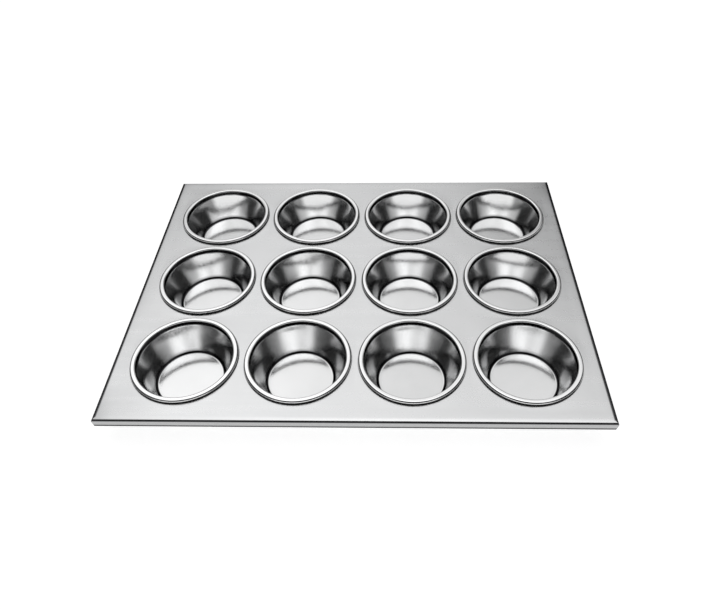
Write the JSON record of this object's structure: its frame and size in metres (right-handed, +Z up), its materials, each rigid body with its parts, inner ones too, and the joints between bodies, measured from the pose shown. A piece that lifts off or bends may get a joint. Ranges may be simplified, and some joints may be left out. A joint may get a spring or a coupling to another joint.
{
  "type": "muffin tin",
  "caption": "Rectangular sheet-aluminium muffin tin: drawn round cups with curled rims, lock-seamed into a flat frame sheet with folded edges.",
  "frame": {"origin": "centre of the footprint, on the plane that the undersides of the cups stand on", "axes": "+X along the long side, to the right; +Y across the short side, to the back; +Z up, out of the mouths of the cups"},
  "size_m": [0.3524, 0.2698, 0.0262],
  "materials": {
    "frame_sheet": "satin rolled sheet",
    "cup": "bright drawn aluminium",
    "hem_wire": "galvanised"
  },
  "bodies": {
    "root": {"frame_sheet": "frame_sheet", "cup_back_1": "cup", "cup_back_2": "cup", "cup_back_3": "cup", "cup_back_4": "cup", "cup_middle_1": "cup", "cup_middle_2": "cup", "cup_middle_3": "cup", "cup_middle_4": "cup", "cup_front_1": "cup", "cup_front_2": "cup", "cup_front_3": "cup", "cup_front_4": "cup", "hem_wire_front": "hem_wire", "hem_wire_back": "hem_wire", "hem_wire_left": "hem_wire", "hem_wire_right": "hem_wire"}
  },
  "joints": []
}
